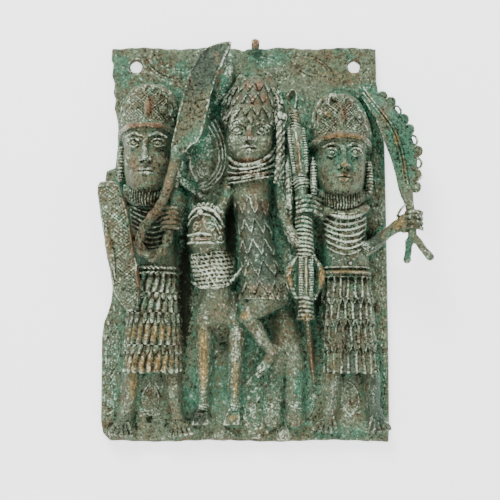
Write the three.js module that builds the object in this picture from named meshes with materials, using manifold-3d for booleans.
// A cast relief plaque: a crested rider and the front of a horse between two armed attendants, on a thin plate.
// Millimetres. X runs right, Z up, and the back of the plate lies in y = 0 with the figures toward -Y.
// "proud" is the distance that a place stands in front of that back plane.
import * as THREE from "three";
import { mergeVertices } from "three/addons/utils/BufferGeometryUtils.js";
import Module from "manifold-3d";

const wasm = await Module();
wasm.setup();

// The overall sizes. The relief is drawn for a plate 400 tall with a top edge 271 wide and figures 60 proud, and is
// brought to these.
const plateTall = 400;
const plateWide = 271;
const reliefDeep = 60;
const scale = [plateWide / 271, reliefDeep / 60, plateTall / 400];

// The plate.
const plateThick = 5;
const plateTop = 200;
const plateBottom = -200;
const nailHole = { radius: 6, left: -111.7, right: 111.7, z: 179.5 };
const topLoop = { x: 10.5, proud: 9, z: 200, radius: 6, bar: 2.6 };
const leftEdge = [
  [-136.6, 200], [-137.4, 188], [-135, 183], [-136.6, 172], [-133.6, 163], [-134.8, 153], [-132.2, 146],
  [-133.6, 137], [-131.4, 129], [-129.5, 120], [-130, 96], [-132, 74], [-141, 72], [-142.4, 59], [-134, 50],
  [-133.5, 0], [-133.5, -58], [-137.5, -72], [-141.4, -82], [-143.4, -98], [-143.2, -182], [-141, -193],
  [-134, -199.4],
];
const rightEdge = [
  [142.6, -199.6], [143.6, -186], [143.8, -118], [143.2, -3], [142.4, 98], [138.6, 140], [136.6, 154],
  [134.6, 166], [134.4, 200],
];
const edgeWaves = { count: 8, deep: 0.9 };

// The two attendants, each about its own line from the head down to the hem.
const leftMan = {
  headX: -97, chinZ: 46, bandZ: 106, crownZ: 157.5, crownX: -95, faceHalf: 26.5, helmetHalf: 30.5,
  torsoTop: { x: -93, z: 34, half: 23 }, waist: { x: -89.5, z: -30, half: 23 },
  hem: { x: -92, z: -130, half: 29.5 }, tiers: [-41, -72, -104, -130], tongues: 7,
  collars: { rows: 6, top: 28, pitch: 8.2, half: 21, sag: 7 },
  legs: [
    { top: -112, ankle: -117, foot: -121, fan: -1 },
    { top: -72.6, ankle: -68, foot: -64.5, fan: 1 },
  ],
  footZ: -181, toeZ: -194,
};
const rightMan = {
  headX: 96.4, chinZ: 42, bandZ: 95, crownZ: 147.5, crownX: 93.6, faceHalf: 26.5, helmetHalf: 30.5,
  torsoTop: { x: 98.6, z: 34, half: 22 }, waist: { x: 101.3, z: -30, half: 24.5 },
  hem: { x: 105.3, z: -131, half: 26.8 }, tiers: [-42, -59.5, -80, -102, -131], tongues: 7,
  collars: { rows: 7, top: 31, pitch: 7.1, half: 21.5, sag: 9 },
  legs: [
    { top: 86.9, ankle: 84.5, foot: 80.4, fan: -1 },
    { top: 125.4, ankle: 127.5, foot: 131.3, fan: 1 },
  ],
  footZ: -176, toeZ: -190,
};
const noseProud = 58;

const solids = [];

// A solid from a closed three.js geometry, facing outwards.
function solidOf(geometry) {
  const bare = geometry.index ? geometry.toNonIndexed() : geometry.clone();
  bare.deleteAttribute("normal");
  bare.deleteAttribute("uv");
  const merged = mergeVertices(bare, 1e-4);
  const index = merged.index.array;
  const corners = [];
  for (let i = 0; i < index.length; i += 3) {
    const [a, b, c] = [index[i], index[i + 1], index[i + 2]];
    if (a !== b && b !== c && c !== a) corners.push(a, b, c);
  }
  const build = (list) => new wasm.Manifold(new wasm.Mesh({
    numProp: 3,
    vertProperties: new Float32Array(merged.attributes.position.array),
    triVerts: new Uint32Array(list),
  }));
  const made = build(corners);
  if (made.volume() > 0) return made;
  return build(corners.reverse());
}

function add(solid) {
  solids.push(solid);
  return solid;
}

// A closed body along stations [x, proud, z, across, deep]: an oval ring square to the path at each of them.
function limb(stations, sides = 8) {
  const centres = stations.map(([x, proud, z]) => new THREE.Vector3(x, -proud, z));
  const front = new THREE.Vector3(0, -1, 0);
  const places = [];
  stations.forEach((station, i) => {
    const across = station[3];
    const deep = station[4] ?? across;
    const ahead = centres[Math.min(i + 1, centres.length - 1)];
    const behind = centres[Math.max(i - 1, 0)];
    const along = ahead.clone().sub(behind).normalize();
    const side = along.clone().cross(front);
    if (side.length() < 0.2) side.set(1, 0, 0);
    side.normalize();
    const out = side.clone().cross(along).normalize();
    for (let k = 0; k < sides; k++) {
      const turn = (2 * Math.PI * (k + 0.5)) / sides;
      const place = centres[i].clone();
      place.addScaledVector(side, Math.cos(turn) * across).addScaledVector(out, Math.sin(turn) * deep);
      places.push(place.x, place.y, place.z);
    }
  });
  const corners = [];
  for (let i = 0; i + 1 < stations.length; i++) {
    for (let k = 0; k < sides; k++) {
      const a = i * sides + k;
      const b = i * sides + ((k + 1) % sides);
      corners.push(a, b, b + sides, a, b + sides, a + sides);
    }
  }
  for (let k = 1; k + 1 < sides; k++) {
    const last = (stations.length - 1) * sides;
    corners.push(0, k + 1, k, last, last + k, last + k + 1);
  }
  const geometry = new THREE.BufferGeometry();
  geometry.setAttribute("position", new THREE.Float32BufferAttribute(places, 3));
  geometry.setIndex(corners);
  return solidOf(geometry);
}

function ball(x, proud, z, across, deep, tall, around = 10, rings = 7) {
  const geometry = new THREE.SphereGeometry(1, around, rings);
  geometry.rotateX(Math.PI / 2);
  geometry.scale(across, deep, tall);
  geometry.translate(x, -proud, z);
  return solidOf(geometry);
}

// A flat piece from an outline of [x, z] corners between two proud distances, its front edge eased by lip.
function slab(outline, back, front, lip = 0) {
  const shape = new THREE.Shape(outline.map(([x, z]) => new THREE.Vector2(x, z)));
  const geometry = new THREE.ExtrudeGeometry(shape, {
    depth: front - back - 2 * lip,
    bevelEnabled: lip > 0,
    bevelThickness: lip,
    bevelSize: lip,
    bevelOffset: -lip,
    bevelSegments: 1,
    steps: 1,
  });
  geometry.translate(0, 0, back + lip);
  geometry.rotateX(Math.PI / 2);
  return solidOf(geometry);
}

function disc(x, z, radius, back, front, around = 12) {
  const geometry = new THREE.CylinderGeometry(radius, radius, front - back, around);
  geometry.translate(x, -(front + back) / 2, z);
  return solidOf(geometry);
}

const mix = (a, b, t) => a + (b - a) * t;

// A body that stands on the plate: rows from the top down, each bowed from its left edge over the front to its right
// edge as [z, x, half, proud, sag]. shape(row, column) may move a place by [forward, down]. Down at the plate the
// rows share the side places of every fourth row, since nothing of them shows there.
function draped(rows, columns, shape = () => [0, 0], foot = 1, fullness = 0.75) {
  const share = rows.length > 5 ? 4 : 1;
  const places = [];
  rows.forEach(([z, x, half, proud, sag = 0], row) => {
    const last = row === rows.length - 1;
    const [sideZ, sideX, sideHalf] = rows[last ? row : Math.floor(row / share) * share];
    for (let k = 0; k <= columns; k++) {
      if (k === 0 || k === columns) {
        places.push(sideX + (k ? sideHalf : -sideHalf), -foot, sideZ);
      } else {
        const turn = (Math.PI * k) / columns;
        const bow = Math.sin(turn) ** fullness;
        const [forward, down] = shape(row, k);
        places.push(x - Math.cos(turn) * half, -(mix(foot, proud, bow) + forward), z - sag * bow - down);
      }
    }
  });
  const ring = columns + 1;
  const corners = [];
  for (let i = 0; i + 1 < rows.length; i++) {
    for (let k = 0; k < ring; k++) {
      const a = i * ring + k;
      const b = i * ring + ((k + 1) % ring);
      corners.push(a, b + ring, b, a, a + ring, b + ring);
    }
  }
  for (let k = 1; k + 1 < ring; k++) {
    const last = (rows.length - 1) * ring;
    corners.push(0, k, k + 1, last, last + k + 1, last + k);
  }
  const geometry = new THREE.BufferGeometry();
  geometry.setAttribute("position", new THREE.Float32BufferAttribute(places, 3));
  geometry.setIndex(corners);
  return solidOf(geometry);
}

function makePlate() {
  const outline = [...leftEdge];
  const [lastX] = leftEdge[leftEdge.length - 1];
  const [firstX] = rightEdge[0];
  for (let i = 1; i < edgeWaves.count; i++) {
    const t = i / edgeWaves.count;
    outline.push([mix(lastX, firstX, t), plateBottom + edgeWaves.deep * Math.sin(i * 2.1) + 0.6]);
  }
  outline.push(...rightEdge);
  const [cornerX] = rightEdge[rightEdge.length - 1];
  for (let i = 1; i < edgeWaves.count; i++) {
    const t = i / edgeWaves.count;
    outline.push([mix(cornerX, leftEdge[0][0], t), plateTop - 0.9 - edgeWaves.deep * Math.cos(i * 1.7)]);
  }
  add(slab(outline, 0, plateThick));
  const loop = new THREE.TorusGeometry(topLoop.radius, topLoop.bar, 5, 9);
  loop.rotateY(Math.PI / 2);
  loop.translate(topLoop.x, -topLoop.proud, topLoop.z);
  add(solidOf(loop));
}

// A foot from its ankle to five toes that fan outwards: each second column of its rows is a toe.
function makeFoot(man, leg) {
  const { footZ, toeZ } = man;
  const toe = (k) => (k % 2 ? 1 : 0);
  const turned = (k) => 4 * Math.abs(k / 9 - 0.5 - 0.15 * leg.fan);
  add(draped([
    [footZ + 15, leg.ankle, 6.5, 16], [footZ, mix(leg.ankle, leg.foot, 0.7), 10.5, 18],
    [toeZ + 2, leg.foot + leg.fan * 1.4, 13, 11],
  ], 9, (row, k) => [row ? 1.6 * toe(k) : 0, row === 2 ? 4.5 * toe(k) - turned(k) : 0]));
}

function makeMan(man) {
  const { headX, chinZ, bandZ, crownZ, crownX } = man;

  // Helmet with its arched rim band, and the studs on it.
  const cap = crownZ - bandZ;
  const arch = -6;
  add(draped([
    [crownZ, crownX, 7, 22], [crownZ - cap * 0.07, crownX, man.helmetHalf * 0.6, 32],
    [crownZ - cap * 0.24, crownX, man.helmetHalf * 0.87, 38],
    [mix(crownZ, bandZ, 0.6), mix(headX, crownX, 0.6), man.helmetHalf, 45],
    [bandZ + 1.5, headX, man.faceHalf + 2.6, 48.5, arch], [bandZ, headX, man.faceHalf + 2.6, 51, arch],
    [bandZ - 3.6, headX, man.faceHalf + 2.6, 51, arch],
  ], 8));
  const midCap = mix(headX, crownX, 0.7);
  add(limb([
    [midCap, 44, bandZ + 9, 0.8, 2], [midCap, 44.5, bandZ + 20, 4, 3.4], [midCap, 38, bandZ + 36, 0.8, 2],
  ], 4));

  // Head and features.
  add(draped([
    [bandZ + 2, headX, man.faceHalf - 1, 46], [mix(chinZ, bandZ, 0.84), headX, man.faceHalf, 48],
    [mix(chinZ, bandZ, 0.72), headX, man.faceHalf, 45.5], [mix(chinZ, bandZ, 0.5), headX, man.faceHalf, 47.5],
    [mix(chinZ, bandZ, 0.25), headX, man.faceHalf - 2, 47.5], [chinZ + 3, headX, 20, 45.5], [chinZ - 3, headX, 12, 38],
  ], 8));
  const eyeZ = mix(chinZ, bandZ, 0.74);
  for (const side of [-1, 1]) {
    add(limb([
      [headX + side * 5.5, 44.5, eyeZ - 0.5, 1, 1.6], [headX + side * 13, 42, eyeZ, 4.6, 3.6],
      [headX + side * 21, 34, eyeZ - 0.5, 1, 1.6],
    ], 4));
  }
  const noseLow = mix(chinZ, bandZ, 0.42);
  add(limb([
    [headX, 46.5, eyeZ + 5, 2.6, 2], [headX, noseProud - 4.5, noseLow + 4, 4.6, 4.5],
    [headX, 47, noseLow - 2, 7, 3],
  ], 5));
  const mouthZ = mix(chinZ, bandZ, 0.24);
  add(limb([[headX - 9.5, 43, mouthZ, 1, 1.6], [headX, 47, mouthZ, 4, 3.2], [headX + 9.5, 43, mouthZ, 1, 1.6]], 4));

  // Ribbed beard and choker, then the torso under its rows of collars, down to the belt.
  const rib = (k) => (k % 2 ? 1.1 : -0.3);
  add(draped([
    [chinZ + 7, headX, 25, 38, 4], [chinZ - 2, headX, 25.5, 41, 5], [chinZ - 11, headX, 24, 38, 5],
  ], 9, (row, k) => [rib(k), 0]));
  const { torsoTop, waist, hem, collars } = man;
  const torsoX = (z) => mix(torsoTop.x, waist.x, (torsoTop.z - z) / (torsoTop.z - waist.z));
  const torsoRows = [[torsoTop.z + 8, torsoTop.x, torsoTop.half, 24]];
  for (let row = 0; row < collars.rows; row++) {
    const z = collars.top - row * collars.pitch + 6;
    const half = torsoTop.half + 1.5 - 0.35 * row;
    torsoRows.push([z, torsoX(z), half, 29, collars.sag], [z - 4, torsoX(z), half, 33, collars.sag]);
  }
  torsoRows.push([waist.z + 9, waist.x, waist.half - 1.5, 28, 1]);
  for (const [rise, out] of [[3, 0.4], [2.4, 3.4], [-2.4, 3.4], [-3, 0.4], [-5, 0]]) {
    torsoRows.push([waist.z + rise - 3.5, waist.x, waist.half + out * 0.3, 29.5 + out, 0.6]);
  }
  add(draped(torsoRows, 6));

  // Skirt: a flaring drum in tiers of hanging tongues, each second column of a tier's foot hanging lower.
  const { tiers } = man;
  const skirtX = (z) => mix(waist.x, hem.x, (waist.z - z) / (waist.z - hem.z));
  const skirtHalf = (z) => mix(waist.half, hem.half, (waist.z - z) / (waist.z - hem.z));
  const skirtRows = [[tiers[0] + 6, skirtX(tiers[0]), skirtHalf(tiers[0]) - 2, 26]];
  for (let tier = 0; tier + 1 < tiers.length; tier++) {
    const top = tiers[tier];
    const bottom = tiers[tier + 1];
    skirtRows.push([top - 1, skirtX(top), skirtHalf(top) - 1, 28.5]);
    skirtRows.push([bottom + 2, skirtX(bottom), skirtHalf(bottom) + 0.6, 32.5]);
  }
  skirtRows.push([hem.z, hem.x, hem.half - 1, 28]);
  const lastTier = skirtRows.length - 2;
  const columns = 2 * man.tongues - 1;
  add(draped(skirtRows, columns, (row, k) => {
    const foot = row > 0 && row % 2 === 0;
    const odd = (k + Math.floor(row / 2)) % 2 ? 1 : 0;
    return [foot ? 1.5 * odd - 0.8 : 0.5 * odd, foot && row < lastTier ? 5 * odd : 0];
  }));

  for (const leg of man.legs) {
    add(draped([
      [hem.z + 3, leg.top, 8, 18], [mix(hem.z, man.footZ, 0.35), mix(leg.top, leg.ankle, 0.45), 8.2, 19],
      [man.footZ + 12, leg.ankle, 6.3, 16.5],
    ], 5));
    makeFoot(man, leg);
  }
}

// The shield of the left attendant: a bent oval shell with a long ridge and studs, on a forearm from the body.
function makeShield() {
  const stations = [
    [-134, 39, 55.5, 6], [-132, 39, 46, 11], [-122, 37.5, -20, 15], [-115, 36, -56, 12], [-111.5, 34, -71, 3],
  ];
  const outer = limb(stations.map(([x, p, z, half]) => [x, p, z, half, 11]), 8);
  const inner = limb(stations.map(([x, p, z, half]) => [x, p - 5, z, half + 1.5, 12.5]), 8);
  add(outer.subtract(inner));
  add(limb([[-133.6, 47, 17, 1, 1.4], [-131, 48.5, -4, 4.2, 4.2], [-124.5, 45.5, -42, 1, 1.4]], 5));
  for (const [x, z, proud, size] of [[-132, 33, 48, 3], [-130, 18.5, 48.5, 2.4], [-119, -36.5, 47.5, 2.6],
    [-115.8, -51, 46, 2.6]]) {
    add(ball(x, proud, z, size, size + 0.6, size, 5, 3));
  }
  add(limb([[-98, 12, 8, 6, 7], [-122, 43, -8, 5.5, 5]], 5));
  add(limb([[-98, 10, -24, 5, 6], [-118, 41, -36, 4.5, 5]], 5));
}

// The raised sword of the left attendant, and the twisted strap from its hilt round to the fist.
function makeLeftSword() {
  const blade = [
    [-14, 192], [-28, 189.5], [-40, 183.5], [-47.5, 172], [-54.5, 155.5], [-60.3, 135], [-65.2, 111.5],
    [-69.4, 93], [-70.5, 79], [-64, 78], [-58, 84], [-50, 90], [-43, 101], [-38.5, 120], [-34.5, 137],
    [-30.5, 150],
  ];
  add(slab(blade, 44, 51, 1.2));
  add(limb([[-14, 50, 191.5, 1.2, 2], [-22, 50.6, 172, 1.6, 2.4], [-31, 50.5, 149, 1, 1.6]], 4));
  for (const [x, z, across] of [[-38, 158, 7], [-57, 104, 6]]) {
    add(limb([[x, 3, z - 6, across, 10], [x, 46, z, across, 6]], 5));
  }
  const strap = [
    [-67, 54, 77, 6.4], [-70.5, 54, 62, 5.8], [-75, 53, 46, 5.6], [-83, 50, 27, 5.4], [-100, 38, 10, 5],
    [-103.2, 34, -4, 4.8], [-97, 33, -16, 4.8], [-86, 33, -18.5, 4.8], [-77.5, 34, -9, 4.8], [-74, 39, 9, 5.4],
  ];
  add(limb(strap.map(([x, p, z, r]) => [x, p, z, r, r]), 5));
  add(limb([[-70, 10, 44, 8, 9], [-66, 26, 32, 7.5, 8], [-71, 37, 20, 8, 8]], 6));
  const knuckles = [[31, 34, 7]];
  for (let i = 0; i < 4; i++) {
    const z = 27 - i * 5.2;
    knuckles.push([z, 47.5, 10], [z - 3, 47.5, 10], [z - 4, 44.5, 9.4]);
  }
  add(draped(knuckles.map(([z, proud, half]) => [z, -72.5, half, proud, 0.6]), 5, undefined, 30));
}

// The sword and outstretched arm of the right attendant, beyond the edge of the plate.
function makeRightSword() {
  const proud = [8, 18, 25, 29, 32.5, 36, 38];
  const inner = [[117, 150], [123.5, 135.4], [130.9, 119.3], [138.3, 97.7], [146.1, 71.6], [149, 57], [152.3, 41]];
  const outer = [[136, 149], [149, 136], [157.5, 121], [165, 104], [170, 85], [169, 60], [164.5, 42]];
  const stations = [[110, 1, 162, 6, 3]];
  const scallops = 18;
  for (let i = 0; i <= scallops; i++) {
    const t = (i / scallops) * (proud.length - 1);
    const k = Math.min(Math.floor(t), proud.length - 2);
    const ease = (list) => [mix(list[k][0], list[k + 1][0], t - k), mix(list[k][1], list[k + 1][1], t - k)];
    const [a, b] = [ease(inner), ease(outer)];
    const lobe = i % 2 ? 4.5 : 0;
    const wide = Math.hypot(b[0] - a[0], b[1] - a[1]);
    const reach = (wide + lobe) / wide;
    const [x, z] = [a[0] + ((b[0] - a[0]) * reach) / 2, a[1] + ((b[1] - a[1]) * reach) / 2];
    stations.push([x, mix(proud[k], proud[k + 1], t - k), z, (wide + lobe) / 2, 2.2]);
  }
  add(limb(stations, 4));
  // Upper arm, forearm, hand with its ridged fingers, and the forked grip.
  add(limb([
    [112, 8, -6, 9, 9], [124, 22, -8, 7.4, 8.4], [131, 27, -3, 5.6, 6], [146, 35, 8.5, 5.2, 5.6],
    [155, 39.5, 15, 8.5, 6.4], [162, 40, 15, 8, 5],
  ], 6));
  for (let i = 0; i < 4; i++) {
    add(limb([[158, 41, 23 - i * 5, 2.4, 3], [166, 45, 22.6 - i * 5, 2.5, 3], [172.5, 39, 22 - i * 4.8, 2.4, 3]], 4));
  }
  add(limb([[158.5, 39, 46, 5.5, 4], [160, 41, 34, 4.4, 4.4], [163, 41, -1, 4.8, 4.4]], 5));
  add(limb([[163, 41, 3, 4, 4], [160, 41, -10, 3.8, 3.8], [158, 41, -22.5, 3.6, 3.6]], 5));
  add(limb([[163, 41, 3, 4, 4], [172, 41, -8, 3.8, 3.8], [181, 41, -20, 3.6, 3.6]], 5));
}

// The rider: a crest of scales, face, collars, a scaled tunic and one bent leg.
function makeRider() {
  // Rows of scales: each row's foot stands forward, and every second column of it hangs to a point.
  const scales = (row, k) => {
    const point = (k + Math.floor(row / 2)) % 2 ? 1 : 0;
    return row % 2 ? [1 + point, 3.6 * point] : [-0.6, 0];
  };
  const crest = [[170, 11, 3, 16]];
  for (const [z, x, half, proud] of [[161, 10.4, 9, 28], [149.5, 9, 19, 36], [137.5, 8, 24.5, 41],
    [125, 7, 26.5, 43.5]]) {
    crest.push([z, x, half, proud], [z - 1, x, half - 0.6, proud - 1]);
  }
  crest.push([115, 6, 26.5, 44]);
  add(draped(crest, 9, (row, k) => (row ? scales(row, k) : [0, 0])));
  add(draped([
    [118, 6, 24.5, 42], [112, 5.6, 25, 43.5], [106, 5, 25, 41], [97, 5, 24.5, 43], [86, 5, 23, 43],
    [70, 5, 16, 40],
  ], 8));
  for (const side of [-1, 1]) {
    const eyeX = 3.5 + side * 13.6;
    add(limb([
      [eyeX - side * 7.6, 40, 107.5, 1, 1.6], [eyeX, 37, 108.5, 4.4, 3.6], [eyeX + side * 7.6, 29, 107.5, 1, 1.6],
    ], 4));
  }
  add(limb([[3.8, 42, 114, 2.6, 2], [4, 48, 97, 4.4, 4.4], [4, 43, 91, 6.6, 3]], 5));
  add(limb([[-5, 39, 83, 1, 1.6], [4.5, 42.6, 83.4, 4, 3.2], [14, 39, 83.6, 1, 1.6]], 4));
  // Collars, slanting up to the right, over the neck.
  const collar = [];
  for (let i = 0; i < 4; i++) {
    const z = 74 - i * 4.8;
    collar.push([z, 6, 22.5, 35.5, 3], [z - 2.6, 6, 23, 38.8, 3]);
  }
  add(draped(collar, 6, (row, k) => [0, k - 3]));
  add(limb([[34, 20, 134, 3, 5], [34.5, 25, 98, 4, 7], [29, 27, 50, 3.2, 5]], 5));
  // Tunic.
  const tunicAt = [[62, 6, 21], [48, 5.6, 21], [22, 7.5, 15.5], [-12, 12.4, 17.5], [-44, 18, 22.5], [-60, 19.4, 24.5]];
  const tunic = [[62, 6, 20, 34]];
  const tunicRows = 7;
  for (let row = 0; row < tunicRows; row++) {
    const z = mix(50, -52, row / (tunicRows - 1));
    const k = Math.max(tunicAt.findIndex(([low]) => low < z) - 1, 0);
    const t = (tunicAt[k][0] - z) / (tunicAt[k][0] - tunicAt[k + 1][0]);
    const x = mix(tunicAt[k][1], tunicAt[k + 1][1], t);
    const half = mix(tunicAt[k][2], tunicAt[k + 1][2], t);
    const proud = mix(36.5, 41, row / (tunicRows - 1));
    tunic.push([z, x, half, proud], [z - 1.2, x, half - 0.6, proud - 1]);
  }
  tunic.push([-58.5, 19.2, 23, 40]);
  add(draped(tunic, 8, (row, k) => (row ? scales(row, k) : [0, 0])));
  add(ball(36, 31, -46, 7.5, 9, 13, 7, 5));
  // Arms that run down beside the tunic.
  add(limb([[-13, 10, 58, 7, 8], [-22, 20, 34, 5.6, 7], [-28, 26, 24, 4.6, 5.6]], 5));
  add(limb([[34, 10, 58, 6, 8], [38, 18, 28, 5.5, 7], [53, 28, -4, 5, 6]], 5));
  // Bent leg and foot.
  add(limb([[30, 18, -56, 13, 13], [16, 32, -64, 12, 12], [4, 40, -74, 9, 9.5], [0.5, 42, -78, 5, 6]], 7));
  add(limb([[3, 40, -76, 8, 8.5], [20, 33, -102, 6, 6.4], [26, 30, -111, 5, 6]], 6));
  add(limb([[28, 28, -108, 4.6, 6], [23, 28, -118, 5, 5.4], [14, 26, -132.5, 4, 3]], 6));
}

// The horse seen from the front, its hind part low on the plate behind the rider.
function makeHorse() {
  add(draped([
    [33, -38, 10, 40], [25, -36, 15, 47], [12, -37, 19.5, 51.5], [2, -37.5, 20, 53], [-2, -37.5, 20, 54],
    [-8, -38.5, 17, 51], [-13, -39.5, 11, 45],
  ], 7, undefined, 18));
  add(limb([[-47, 38, 25, 6, 5], [-40, 38, 34, 6.5, 3]], 5));
  for (const [x, z, size] of [[-43.5, 12.5, 3.6], [-33.5, 11.5, 3.6], [-22.5, -2, 5.4]]) {
    add(ball(x, x > -30 ? 41 : 51, z, size, 3.4, size, 6, 4));
  }
  add(limb([[-54, 48, -2.6, 2, 2.6], [-44, 54.5, -2, 3, 3], [-33, 52.5, -2.6, 2, 2.6]], 5));
  // Neck under its knitted collar, chest and belly.
  const neck = [[-4, -34, 20, 36]];
  for (let row = 0; row < 5; row++) {
    const t = row / 4;
    const z = mix(-15, -44, t);
    neck.push([z + 1.2, mix(-33, -30.5, t), mix(22, 16, t), mix(39, 41, t), 3.4]);
    neck.push([z - 2.4, mix(-33, -30.5, t), mix(22, 16, t), mix(41.4, 43, t), 3.4]);
  }
  neck.push([-50, -29.5, 17, 41, 2], [-53, -28, 19, 43.5, 2], [-56, -27, 19, 38, 1], [-66, -25, 20.5, 34]);
  neck.push([-78, -23.5, 19, 29], [-90, -22.5, 14.5, 24], [-99, -22, 8, 16]);
  add(draped(neck, 7));
  add(draped([[-52, 0, 11, 24], [-72, -1, 10.5, 25], [-94, -7, 9, 22]], 5));
  // Forelegs and hooves.
  for (const [topX, lowX, topZ] of [[-40.5, -40.8, -82], [-8.5, -11.4, -86]]) {
    add(draped([
      [topZ, topX, 9, 29], [-116, mix(topX, lowX, 0.4), 8, 25], [-142, lowX, 7, 22], [-164, lowX, 6.2, 20],
      [-168, lowX, 7.4, 22], [-180, lowX - 0.5, 9.2, 25],
    ], 5));
  }
  // Haunch and hind legs.
  add(draped([[-66, 38, 5, 12], [-78, 39, 12, 19], [-96, 40, 14, 20], [-110, 40, 11, 17]], 5));
  for (const [topX, lowX] of [[29, 27], [50.5, 49.5]]) {
    add(draped([
      [-104, mix(topX, 40, 0.5), 8, 12], [-134, topX, 9.4, 15], [-160, lowX, 8, 14.5], [-166, lowX, 8.8, 16],
      [-177, lowX, 9.4, 18],
    ], 4));
  }
}

// The staff between the rider and the right attendant.
function makeStaff() {
  const line = (z) => mix(50, 60.5, Math.min(Math.max((130 - z) / 150, 0), 1));
  const rows = [
    [154, 49, 2, 8], [146, 48.7, 4.6, 13], [138, 49, 3.2, 11], [132, 49.4, 5, 17], [116, 50, 5.4, 22],
    [112, 51, 8.6, 24], [92, 53, 10, 29], [65, 57, 7.6, 33],
  ];
  const turned = [
    [60, 8.6, 36], [55, 8.4, 36], [53, 7, 34], [43, 6.8, 35], [40.5, 8, 38], [38, 6, 34],
    [25, 6.6, 35], [21, 9.4, 39.5], [14, 8.6, 37.2], [7, 9.6, 40], [-1, 8.6, 37.2], [-8, 9.6, 40],
    [-18, 9, 38],
  ];
  for (const [z, half, proud] of turned) rows.push([z, line(z), half, proud]);
  rows.push([-24, 60, 9, 36], [-38, 60, 10, 36], [-56, 59.8, 8, 36]);
  for (const [z, proud] of [[-59, 38], [-65, 35.6], [-71, 38], [-79, 38.2]]) {
    rows.push([z, 59.9, 8.8, proud]);
  }
  rows.push([-81, 62, 3.2, 26], [-110, 65.6, 2.8, 18], [-145, 69.3, 1.4, 8]);
  add(draped(rows, 5));
  add(limb([[51, 24, 104, 0.8, 1.2], [53.4, 29.5, 86, 1.9, 2.6], [55.6, 31, 69, 0.8, 1.2]], 4));
  for (const [dx, top, bottom] of [[-8.4, 114, 66], [6.6, 110, 66]]) {
    add(limb([[51 + dx, 20, top, 1.4, 3], [54 + dx * 0.9, 26, mix(top, bottom, 0.5), 1.8, 3],
      [57 + dx * 0.7, 28, bottom, 1.4, 3]], 4));
  }
  for (let i = 0; i < 3; i++) add(limb([
    [53, 34, 37 - i * 4.6, 2.2, 3], [62, 40, 38 - i * 4.6, 2.6, 3.6], [71, 33, 35 - i * 4.6, 2.4, 3.2],
  ], 4));
  add(limb([[76, 8, 30, 7, 9], [70, 32, 28, 6.5, 7]], 5));
  add(draped([[86, 43, 3, 14], [62, 43, 6, 22], [40, 44.5, 6, 24], [14, 46, 4, 20]], 5));
  add(draped([[84, 68, 3, 14], [62, 69, 5, 21], [42, 70, 5, 23]], 5));
  // Two bright lobes beside the lower head of the staff, its straps and its ridge.
  for (const side of [-1, 1]) {
    add(limb([[59.5 + side * 7, 30, -19, 1, 1.6], [59 + side * 16, 27, -36, 3.8, 4],
      [59.6 + side * 9, 30, -59, 1, 1.4]], 5));
    add(limb([[60 + side * 4.6, 33, -20, 1.6, 2.6], [60 + side * 4.6, 33.4, -58, 1.6, 2.6]], 4));
  }
  add(limb([[60, 34.6, -22, 0.8, 1.4], [60, 35.4, -40, 1.8, 2.6], [60, 34.6, -57, 0.8, 1.4]], 4));
}

// Low leaves, domes and mounds on the plate, each as [x, z, half, up, proud].
function makeGroundwork() {
  const mounds = [
    [-40.6, 88.5, 13.5, 27, 12], [49, 136, 16, 31, 9], [-21.6, -192, 12, 7.5, 11.5], [37.7, -192.5, 9, 8.6, 14],
    [-94.7, -176, 9.5, 9.5, 13],
  ];
  for (const [x, z, half, up, proud] of mounds) {
    add(draped([
      [z + up, x, half * 0.3, 5.4], [z + up * 0.4, x, half * 0.95, mix(5, proud, 0.9)],
      [z - up * 0.4, x, half * 0.95, mix(5, proud, 0.9)], [z - up, x, half * 0.3, 5.4],
    ], 4));
  }
}

makePlate();
makeGroundwork();
makeHorse();
makeRider();
makeStaff();
makeMan(leftMan);
makeMan(rightMan);
makeShield();
makeLeftSword();
makeRightSword();

const wide = 400;
const frontHalf = slab([[-wide, -wide], [wide, -wide], [wide, wide], [-wide, wide]], 0, 100);
let casting = solids.reduce((sum, solid) => sum.add(solid)).intersect(frontHalf).scale(scale);
for (const x of [nailHole.left, nailHole.right]) {
  casting = casting.subtract(disc(x * scale[0], nailHole.z * scale[2], nailHole.radius, -5, 40));
}

// The pieces join into one body; flecks cut off by the trim at the back plane are dropped.
const bodies = casting.decompose().sort((a, b) => b.volume() - a.volume());
const { numProp, vertProperties, triVerts, numVert } = bodies[0].getMesh();
const places = new Float32Array(numVert * 3);
for (let i = 0; i < numVert; i++) {
  places.set(vertProperties.subarray(i * numProp, i * numProp + 3), i * 3);
}
const castingGeometry = new THREE.BufferGeometry();
castingGeometry.setAttribute("position", new THREE.BufferAttribute(places, 3));
castingGeometry.setIndex(new THREE.BufferAttribute(triVerts, 1));
castingGeometry.computeVertexNormals();

const bronze = new THREE.MeshStandardMaterial({ color: "#5f7a68", roughness: 0.62, metalness: 0.75 });
const plaque = new THREE.Mesh(castingGeometry, bronze);
plaque.name = "plaque";
const part = new THREE.Group();
part.add(plaque);
export default part;
